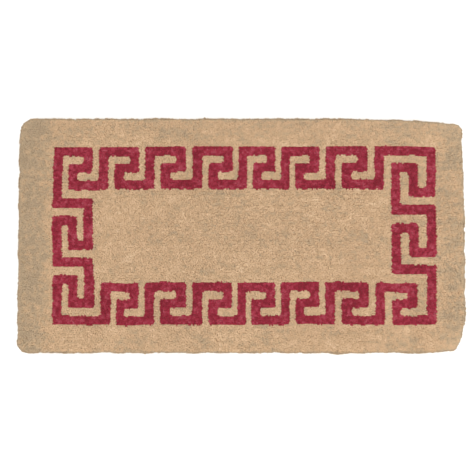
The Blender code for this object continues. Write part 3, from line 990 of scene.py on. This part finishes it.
@dataclass
class Pile:
    """The brush: cut tufts on one lattice, and the longer fibres that show round the rim."""

    shop: Workshop
    row_pitch: float = 0.00375
    tuft_pitch: float = 0.0038
    jitter: float = 0.0008
    first_tuft_in: float = 0.0028
    rim_round: float = 0.008
    tip_clearance: float = 0.0006
    turn_softness: float = 0.006
    turn_spots: int = 24
    look_down_from: float = 0.05
    least_share: float = 0.42
    core_below_tips: float = 0.009
    core_inset: float = 0.004
    core_grid: float = 0.02
    fringe_pitch: float = 0.0042
    fringe_rows: tuple[float, ...] = (0.0008, 0.0022, 0.0038)
    tuft_shapes: int = 10
    fringe_shapes: int = 5
    tuft: TuftPlan = TuftPlan()
    fringe: FringePlan = FringePlan()

    def owners(self, names: list[str]) -> tuple[BVHTree, np.ndarray]:
        """A search tree over some parts of the frame, and which of them each of its faces is on."""
        corners, faces, owner = [], [], []
        for i, name in enumerate(names):
            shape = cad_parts[name].data
            first = len(corners)
            corners += [v.co.copy() for v in shape.vertices]
            faces += [[first + v for v in p.vertices] for p in shape.polygons]
            owner += [i] * len(shape.polygons)
        return BVHTree.FromPolygons(corners, faces), np.array(owner)

    def owner_of(self, places: np.ndarray, names: list[str]) -> np.ndarray:
        """The number of the part that each place on the tread takes its pile from.

        The weaver rounds off the turns of the key, so a place is dyed when enough of the ground
        round it is. The dyed pile also flares a little over the undyed pile beside it.

        Args:
            places: one place a row, as drawn.
            names: the parts to choose from.

        Returns:
            A part's number for each place.
        """
        groups = [[i for i, name in enumerate(names) if Dye.of(name) is dye] for dye in Dye]
        searches = [self.owners([names[i] for i in group]) for group in groups if group]
        found = np.zeros(len(places), int)
        for i, (x, y, _) in enumerate(places):
            tip = Vector((x, y, self.shop.plan.height))
            side = 0
            if len(searches) == 2:
                near = [search.find_nearest(tip, self.turn_softness)[0] for search, _ in searches]
                side = int(near[0] is None)
                if None not in near:
                    side = int(self.dyed_share(tip, searches[1][0]) >= self.least_share)
            search, owner = searches[side]
            found[i] = groups[side][owner[search.find_nearest(tip)[2]]]
        return found

    def dyed_share(self, tip: Vector, dyed: BVHTree) -> float:
        """How much of the ground round a place is dyed, from 0 to 1."""
        over = 0
        for k in range(self.turn_spots):
            angle = k * GOLDEN_ANGLE
            reach = self.turn_softness * math.sqrt((k + 0.5) / self.turn_spots)
            aside = (reach * math.cos(angle), reach * math.sin(angle), self.look_down_from)
            over += dyed.ray_cast(tip + Vector(aside), Vector((0, 0, -1)))[0] is not None
        return over / self.turn_spots

    def rim_drop(self, depth: np.ndarray) -> np.ndarray:
        """How far the rounded rim is below the tread at each depth inside the outline."""
        short = np.clip(self.rim_round - depth, 0, self.rim_round)
        return self.rim_round - np.sqrt(self.rim_round**2 - short**2)

    def lattice(self) -> np.ndarray:
        """The tufts' places as drawn: rows across the mat, every other one shifted by half."""
        plan = self.shop.plan
        rng = np.random.default_rng(11)
        columns = np.arange(-plan.half_length, plan.half_length, self.tuft_pitch)
        rows = np.arange(-plan.half_width, plan.half_width, self.row_pitch)
        x, y = np.meshgrid(columns, rows)
        x = x + (np.arange(len(rows)) % 2 * self.tuft_pitch / 2)[:, None]
        places = np.stack([x.ravel(), y.ravel(), np.full(x.size, plan.height)], axis=1)
        places[:, :2] += rng.uniform(-self.jitter, self.jitter, (len(places), 2))
        return places[plan.depth_in(places) > self.first_tuft_in]

    def tones_and_painted_shade(self, places: np.ndarray, dye: Dye, rng: np.random.Generator) -> np.ndarray:
        """Each tuft's shade, from DARKEST to PALEST: its own, and on undyed pile the painted shade of
        the edges and beside the right columns.

        Args:
            places: the tufts' places.
            dye: the pile's colour.
            rng: the source of each tuft's own difference.

        Returns:
            One shade for each tuft.
        """
        broad = patchy(places, 0.050, 21 if dye is Dye.UNDYED else 31)
        close = patchy(places, 0.014, 22 if dye is Dye.UNDYED else 32)
        streak = patchy(places * [0.4, 1.6, 1], 0.012, 23)
        knots = patchy(places, 0.0065, 24)
        own = rng.normal(0, 0.035, len(places))
        mottle = 0.16 * (broad - 0.5) + 0.16 * (close - 0.5) + 0.22 * (streak - 0.5)
        if dye is Dye.RED:
            # The dye takes unevenly from tuft to tuft.
            return np.clip(0.45 + 2.5 * own + mottle + 0.8 * (knots - 0.5), DARKEST, PALEST)
        tone = 0.5 + own + mottle + 0.36 * (knots - 0.5)
        # Painted shade: darker at the left edge, beside the right columns, at the right edge and along
        # the back, as where the nap lies away from the light.
        tone -= 0.32 * rise(-places[:, 0], 0.49, 0.56)
        tone -= 0.12 * np.exp(-(((places[:, 0] - 0.43) / 0.05) ** 2))
        tone -= 0.18 * rise(places[:, 0], 0.50, 0.56)
        tone -= 0.06 * rise(places[:, 1], 0.23, 0.27)
        # Painted shade: the trimmed rim is darker, as it turns away from the light.
        tone -= 0.22 * (1 - rise(self.shop.plan.depth_in(places), 0.001, 0.010))
        # Here and there a tuft of older husk is much darker.
        tone = np.where(rng.random(len(places)) < 0.008, tone - 0.25, tone)
        return np.clip(tone, DARKEST, PALEST)

    def tuft_facts(self, places: np.ndarray, dye: Dye, seed: int) -> tuple[np.ndarray, dict]:
        """Where some tufts stand on the mat as it lies, and how.

        Args:
            places: their places as drawn.
            dye: their colour.
            seed: the seed of their own differences.

        Returns:
            The places of their tips, and an array for each planting fact.
        """
        plan = self.shop.plan
        rng = np.random.default_rng(seed)
        count = len(places)
        depth = plan.depth_in(places)
        over = np.arcsin(np.clip((self.rim_round + 0.002 - depth) / 0.012, 0, 0.9)) * 0.8
        out = plan.outwards(places)
        lean = np.zeros((count, 3))
        for axis in (0, 1):
            lean[:, axis] = 0.24 * (patchy(places, 0.020, 41 + axis) - 0.5)
            lean[:, axis] += rng.normal(0, 0.04, count)
        lean[:, 0] -= out[:, 1] * over
        lean[:, 1] += out[:, 0] * over
        tips = plan.laid(places)
        tips[:, 2] -= self.tip_clearance + self.rim_drop(depth)
        tips[:, 2] -= 0.0009 * patchy(places, 0.011, 43) + rng.uniform(0, 0.0003, count)
        stretch = np.ones((count, 3))
        # Next to the rim the tufts are slimmer, so that none shows through the fringe.
        slim = 1 - 0.3 * (1 - rise(depth, 0.003, 0.007))
        stretch[:, :2] = (rng.uniform(0.95, 1.12, count) * slim)[:, None]
        facts = {
            "tone": self.tones_and_painted_shade(places, dye, rng),
            "spin": rng.uniform(0, 2 * math.pi, count),
            "lean": lean,
            "stretch": stretch,
            "shape": rng.integers(0, self.tuft_shapes, count),
        }
        return tips, facts

    def fringe_facts(self, places: np.ndarray, seed: int) -> tuple[np.ndarray, dict]:
        """Where some rim clumps stand on the mat as it lies, and how.

        Args:
            places: their places as drawn.
            seed: the seed of their own differences.

        Returns:
            The places of their tips, and an array for each planting fact.
        """
        plan = self.shop.plan
        rng = np.random.default_rng(seed)
        count = len(places)
        out = plan.outwards(places)
        tips = plan.laid(places)
        ragged = 0.0030 * (patchy(places, 0.006, 45) - 0.5) + rng.normal(0, 0.0004, count)
        ragged += 0.0024 * (patchy(places, 0.017, 46) - 0.5)
        tips[:, :2] += out * ragged[:, None]
        tips[:, 2] -= self.tip_clearance + self.rim_drop(plan.depth_in(places))
        tips[:, 2] -= rng.uniform(0, 0.0016, count)
        lean = np.zeros((count, 3))
        tilt = rng.normal(0.05, 0.06, count) + 0.12 * (patchy(places, 0.03, 44) - 0.5)
        lean[:, 0] = -out[:, 1] * tilt
        lean[:, 1] = out[:, 0] * tilt
        facts = {
            # Painted shade: the fringe on the rim's side takes a tone 0.26 darker than the tread's, so
            # it reads darker and greyer.
            "tone": np.maximum(self.tones_and_painted_shade(places, Dye.UNDYED, rng) - 0.26, DARKEST),
            "spin": np.arctan2(out[:, 1], out[:, 0]),
            "lean": lean,
            "stretch": np.ones((count, 3)),
            "shape": self.tuft_shapes + rng.integers(0, self.fringe_shapes, count),
        }
        return tips, facts

    def core(self, node: str) -> bpy.types.Object:
        """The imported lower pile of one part: its own solid with the top lowered, laid as it lies.

        Args:
            node: the part of the frame.

        Returns:
            An object outside the scene.
        """
        plan = self.shop.plan
        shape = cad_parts[node].data.copy()
        solid = bmesh.new()
        solid.from_mesh(shape)
        bmesh.ops.remove_doubles(solid, verts=solid.verts, dist=1e-6)
        for normal, reach in (
            (Vector((1.0, 0.0, 0.0)), plan.half_length),
            (Vector((0.0, 1.0, 0.0)), plan.half_width),
        ):
            for k in range(-int(reach / self.core_grid), int(reach / self.core_grid) + 1):
                everything = [*solid.verts, *solid.edges, *solid.faces]
                bmesh.ops.bisect_plane(
                    solid, geom=everything, plane_co=normal * k * self.core_grid, plane_no=normal
                )
        bmesh.ops.triangulate(solid, faces=solid.faces)
        solid.to_mesh(shape)
        solid.free()
        places = vertex_places(shape)
        depth = plan.depth_in(places)
        near_rim = depth < self.rim_round + 0.0005
        drawn_in = (1 - np.clip(depth / self.rim_round, 0, 1)) * self.core_inset
        places[:, :2] -= np.where(near_rim, drawn_in, 0)[:, None] * plan.outwards(places)
        places[:, 2] = np.minimum(places[:, 2], plan.height - self.core_below_tips)
        shade = 0.25 + 0.5 * patchy(places, 0.009, 51)
        # Painted shade: the core shows only in the gaps between the tufts, so its v stays low and the
        # depth shade darkens it, more so lower down.
        height = 0.01 + 0.12 * patchy(places, 0.007, 52) + places[:, 2] * 6
        corner = read(shape.loops, "vertex_index")
        store_map(shape, MAP_NAME, np.stack([shade, height], axis=1)[corner])
        place_vertices(shape, plan.laid(places))
        shape.materials.clear()
        shape.update()
        return bpy.data.objects.new(f"core_{node}", shape)

    def build(self) -> None:
        """Plants the whole pile, one or more pieces for each part of the frame."""
        names = [n for n in sorted(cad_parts) if n.startswith(("key_", "margin_", "field"))]
        materials = {dye: PILES[dye].material() for dye in Dye}
        bundles = [self.tuft.bundle(100 + i) for i in range(self.tuft_shapes)]
        bundles += [self.fringe.bundle(200 + i) for i in range(self.fringe_shapes)]
        store = bundle_store("pile_bundle", bundles)
        places = self.lattice()
        stray = np.zeros_like(places)
        stray[:, 0] = patchy(places, 0.012, 61) - 0.5
        stray[:, 1] = patchy(places, 0.012, 62) - 0.5
        owner = self.owner_of(places + stray * 0.0022, names)
        margins = [name for name in names if name.startswith("margin_")]
        lines = [self.shop.plan.rim_line(depth, self.fringe_pitch) for depth in self.fringe_rows]
        rims = np.concatenate(lines)
        rim_owner = self.owner_of(rims, margins)
        for number, name in enumerate(names):
            dye = Dye.of(name)
            tips, facts = self.tuft_facts(places[owner == number], dye, 300 + number)
            sizes = np.full(len(tips), bundles[0].triangles)
            if name in margins:
                near = rims[rim_owner == margins.index(name)]
                more, more_facts = self.fringe_facts(near, 400 + number)
                tips = np.concatenate([tips, more])
                facts = {k: np.concatenate([facts[k], more_facts[k]]) for k in facts}
                sizes = np.concatenate([sizes, np.full(len(more), bundles[-1].triangles)])
            low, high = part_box(name)
            longest = 0 if high.x - low.x > high.y - low.y else 1
            order = np.argsort(tips[:, longest], kind="stable")
            parts = math.ceil(sizes.sum() / MOST_TRIANGLES)
            ends = np.arange(1, parts) * sizes.sum() / parts
            shares = np.split(order, np.searchsorted(np.cumsum(sizes[order]), ends))
            for i, chosen in enumerate(shares):
                label = f"{name}_pile" if parts == 1 else f"{name}_pile_{i + 1}"
                given = {
                    "Bundles": store,
                    "Core": self.core(name) if i == 0 else None,
                    "Finish": materials[dye],
                    "Spin Jitter": 0.2,
                    "Tone Share": 1.0,
                    "Seed": 7 + number,
                }
                own = {k: v[chosen] for k, v in facts.items()}
                piece = self.shop.planted(label, tips[chosen], own, given)
                self.shop.hand_in(piece, name, dye.value)


@dataclass
class WeftGround:
    """The crosswise yarns that lock the pile's feet, beaten close together."""

    shop: Workshop
    node: str = "weft_ground"
    pick_pitch: float = 0.0042
    radius_share: float = 0.56
    pick_shapes: int = 4
    bends: int = 12
    sides: int = 6

    def pick(self, seed: int) -> Bundle:
        """One pick of unit half length across the mat, pressed flat where the warp holds it."""
        rng = np.random.default_rng(seed)
        low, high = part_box(self.node)
        rod = Bundle()
        sides = self.sides
        for j in range(self.bends + 1):
            swell = rng.uniform(0.92, 1.06)
            for k in range(sides):
                angle = 2 * math.pi * k / sides
                x = math.cos(angle) * self.pick_pitch * self.radius_share * swell
                z = math.sin(angle) * (high.z - low.z) / 2 * min(swell, 1.0)
                rod.corners.append(np.array([x, 2 * j / self.bends - 1, z]))
                rod.strands.append((0.02 + 0.8 * (k / sides), 0.02 + 0.96 * abs(1 - j % 4 / 2)))
        for j in range(self.bends):
            for k in range(sides):
                a, b = j * sides + k, j * sides + (k + 1) % sides
                rod.faces.append([b, a, a + sides, b + sides])
        rod.faces.append(list(range(sides)))
        last = self.bends * sides
        rod.faces.append([last + k for k in range(sides)][::-1])
        return rod

    def build(self) -> None:
        """Lays the picks side by side along the mat."""
        plan = self.shop.plan
        low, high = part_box(self.node)
        rng = np.random.default_rng(71)
        count = round((high.x - low.x) / self.pick_pitch)
        spots = low.x + (np.arange(count) + 0.5) * (high.x - low.x) / count
        radius = plan.corner_radius - (plan.half_length - high.x)
        short = np.clip(np.abs(spots) - (high.x - radius), 0, radius)
        reach = high.y - (radius - np.sqrt(radius**2 - short**2))
        places = np.stack([spots, np.zeros(count), np.full(count, (low.z + high.z) / 2)], axis=1)
        facts = {
            "tone": rng.uniform(0.3, 0.7, count),
            "spin": np.zeros(count),
            "lean": np.zeros((count, 3)),
            "stretch": np.stack([np.ones(count), reach, np.ones(count)], axis=1),
            "shape": rng.integers(0, self.pick_shapes, count),
        }
        picks = [self.pick(80 + i) for i in range(self.pick_shapes)]
        given = {
            "Bundles": bundle_store("weft_pick", picks),
            "Finish": WEFT_YARN.material(),
            "Spin Jitter": 0.0,
            "Tone Share": 0.15,
            "Seed": 5,
        }
        piece = self.shop.planted("weft_picks", places, facts, given)
        plan.lay(piece.data)
        self.shop.hand_in(piece, self.node, "coir_yarn")


@dataclass
class WarpChains:
    """The lengthwise chains: three coir yarns plaited flat, one chain for each solid."""

    shop: Workshop
    count: int = 25
    pitch: float = 0.030
    step: float = 0.005
    radius_share: float = 0.36
    patch: float = 0.21

    def build(self) -> None:
        """Plaits every chain along its own solid."""
        material = WARP_YARN.material()
        for i in range(self.count):
            node = f"warp_chain_{i + 1:02d}"
            low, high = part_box(node)
            radius = (high.z - low.z) * self.radius_share
            middle = (low + high) / 2
            ends = [(x, middle.y, middle.z) for x in (low.x + radius, high.x - radius)]
            path = path_object(f"{node}_plait", np.array(ends), False, False)
            given = {
                "Strand Radius": radius,
                "Sides": 4,
                "Pitch": self.pitch,
                "Spread": (high.y - low.y) / 2 - radius,
                "Rise": (high.z - low.z) / 2 - radius,
                "Step": self.step,
                "Finish": material,
            }
            self.shop.lay_cord(path, node, "coir_yarn", self.patch, given)


@dataclass
class EdgeRope:
    """The flat braid of three coir strands that runs round under the pile's rim."""

    shop: Workshop
    node: str = "edge_rope"
    inset: float = 0.010
    pitch: float = 0.024
    path_pitch: float = 0.004
    step: float = 0.0021
    radius_share: float = 0.24
    rise_share: float = 0.62
    patch: float = 0.2

    def build(self) -> None:
        """Braids the rope round the mat."""
        low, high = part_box(self.node)
        radius = (high.z - low.z) * self.radius_share
        loop = self.shop.plan.rim_line(self.inset, self.path_pitch)
        loop[:, 2] = (low.z + high.z) / 2
        given = {
            "Strand Radius": radius,
            "Sides": 6,
            "Pitch": self.pitch,
            "Spread": (high.z - low.z) / 2 - radius,
            "Rise": radius * self.rise_share,
            "Step": self.step,
            "Finish": EDGE_BRAID.material(),
        }
        path = path_object("edge_braid", loop, True, False)
        self.shop.lay_cord(path, self.node, "coir_braid", self.patch, given)


@dataclass
class Lashing:
    """The twine that sews the rope to the ground along each edge, in slanting turns."""

    shop: Workshop
    twine: float = 0.002
    pitch: float = 0.009
    step: float = 0.0015
    hole_inset: float = 0.0213
    rope_inset: float = 0.010
    rope_height: float = 0.0073
    turn_radius: float = 0.00574
    over_ground: float = 0.0093
    under_ground: float = 0.0030
    spacing: float = 0.065
    corner_gap: float = 0.022
    lean: float = 0.3
    turn_steps: int = 8
    ply_share: float = 0.28
    patch: float = 0.15

    def turns(self, edge: Edge) -> np.ndarray:
        """The path of one edge's twine, as drawn, one point a row."""
        plan = self.shop.plan
        outward = np.array([*edge.value, 0.0])
        travel = np.array([outward[1], -outward[0], 0.0])
        to_edge, half_run = plan.half_width, plan.half_length
        if edge in (Edge.LEFT, Edge.RIGHT):
            to_edge, half_run = half_run, to_edge
        reach = half_run - plan.corner_radius - self.corner_gap
        gaps = round(2 * reach / self.spacing)
        spacing = 2 * reach / gaps
        across = self.hole_inset - self.rope_inset
        path = []
        for i in range(gaps + 1):
            hole = outward * (to_edge - self.hole_inset) + travel * (i * spacing - reach)
            path.append(hole + [0, 0, self.over_ground])
            path.append(hole + [0, 0, self.under_ground])
            if i == gaps:
                break
            for k in range(self.turn_steps + 1):
                angle = math.pi * k / self.turn_steps - math.pi / 2
                out = outward * (across + self.turn_radius * math.cos(angle))
                shift = travel * spacing * self.lean * (k + 1) / (self.turn_steps + 1)
                lift = [0, 0, self.rope_height + self.turn_radius * math.sin(angle)]
                path.append(hole + out + shift + lift)
        return np.array(path)

    def build(self) -> None:
        """Sews all four edges."""
        radius = self.twine * self.ply_share
        given = {
            "Strands": 2,
            "Strand Radius": radius,
            "Sides": 4,
            "Pitch": self.pitch,
            "Spread": self.twine / 2 - radius,
            "Rise": self.twine / 2 - radius,
            "Harmonic": 1.0,
            "Rise Lead": math.pi / 2,
            "Step": self.step,
            "Finish": LASHING_TWINE.material(),
        }
        for edge in Edge:
            node = f"lashing_{edge.name.lower()}"
            path = path_object(f"{node}_twine", self.turns(edge), False, True)
            self.shop.lay_cord(path, node, "coir_twine", self.patch, given)


@dataclass
class Studio:
    """The pale floor, the soft lights and the camera."""

    plan: MatPlan
    floor_half: float = 9.0
    view_distance: float = 1.75
    tilt_degrees: float = 2.0
    look_x: float = -0.017
    lens: float = 50
    sensor: float = 36

    def floor(self) -> None:
        """A broad white board under the mat."""
        shape = bpy.data.meshes.new("studio_floor")
        signs = ((-1, -1), (1, -1), (1, 1), (-1, 1))
        corners = [(x * self.floor_half, y * self.floor_half, 0) for x, y in signs]
        shape.from_pydata(corners, [], [(0, 1, 2, 3)])
        shape.materials.append(StudioFloor().material())
        in_scene("studio_floor", shape)

    def lamp(self, name: str, place: tuple, size: float, watts: float, code: str) -> None:
        """Hangs a square soft light that faces the mat.

        Args:
            name: the light's name.
            place: where it hangs.
            size: its side.
            watts: its power.
            code: its sRGB hex colour.
        """
        data = bpy.data.lights.new(name, "AREA")
        data.size, data.energy, data.color = size, watts, linear(code)[:3]
        light = in_scene(name, data)
        light.location = place
        light.rotation_euler = (-Vector(place)).to_track_quat("-Z", "Y").to_euler()

    def lights(self) -> None:
        """An even white surround and two large soft lights overhead."""
        world = bpy.data.worlds.new("studio_surround")
        world.use_nodes = True
        background = next(n for n in world.node_tree.nodes if n.type == "BACKGROUND")
        background.inputs["Color"].default_value = linear("#ffffff")
        background.inputs["Strength"].default_value = 1.0
        bpy.context.scene.world = world
        self.lamp("overhead_soft", (0.12, -0.25, 2.6), 1.5, 45.0, "#fffaf2")
        self.lamp("side_soft", (1.8, -1.2, 1.6), 1.4, 8.0, "#ffffff")

    def camera(self) -> None:
        """A camera that looks almost straight down on the mat."""
        data = bpy.data.cameras.new("overhead_camera")
        data.lens, data.sensor_width = self.lens, self.sensor
        camera = in_scene("overhead_camera", data)
        tilt = math.radians(self.tilt_degrees)
        back = self.view_distance * math.sin(tilt)
        up = self.view_distance * math.cos(tilt) + self.plan.height
        camera.location = (self.look_x, -back, up)
        camera.rotation_euler = (tilt, 0, 0)
        bpy.context.scene.camera = camera

    def build(self) -> None:
        """Sets up the whole studio."""
        bpy.context.scene.view_settings.view_transform = "Standard"
        self.floor()
        self.lights()
        self.camera()


def corners(box: tuple[Vector, Vector]) -> list[list[float]]:
    """A box's two corners as plain lists of numbers."""
    return [[float(v) for v in corner] for corner in box]


def main() -> None:
    """Builds the mat's pieces in order, then the studio."""
    logging.basicConfig(level=logging.INFO, format="%(name)s: %(message)s")
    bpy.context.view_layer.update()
    plan = MatPlan.from_frame()
    shop = Workshop(plan, planting_tree(), strand_tree())
    for assembly in (WarpChains, WeftGround, EdgeRope, Lashing, Pile):
        assembly(shop).build()
    Studio(plan).build()
    LOG.info("the mat has %d triangles", shop.triangles)


if __name__ == "__main__":
    main()
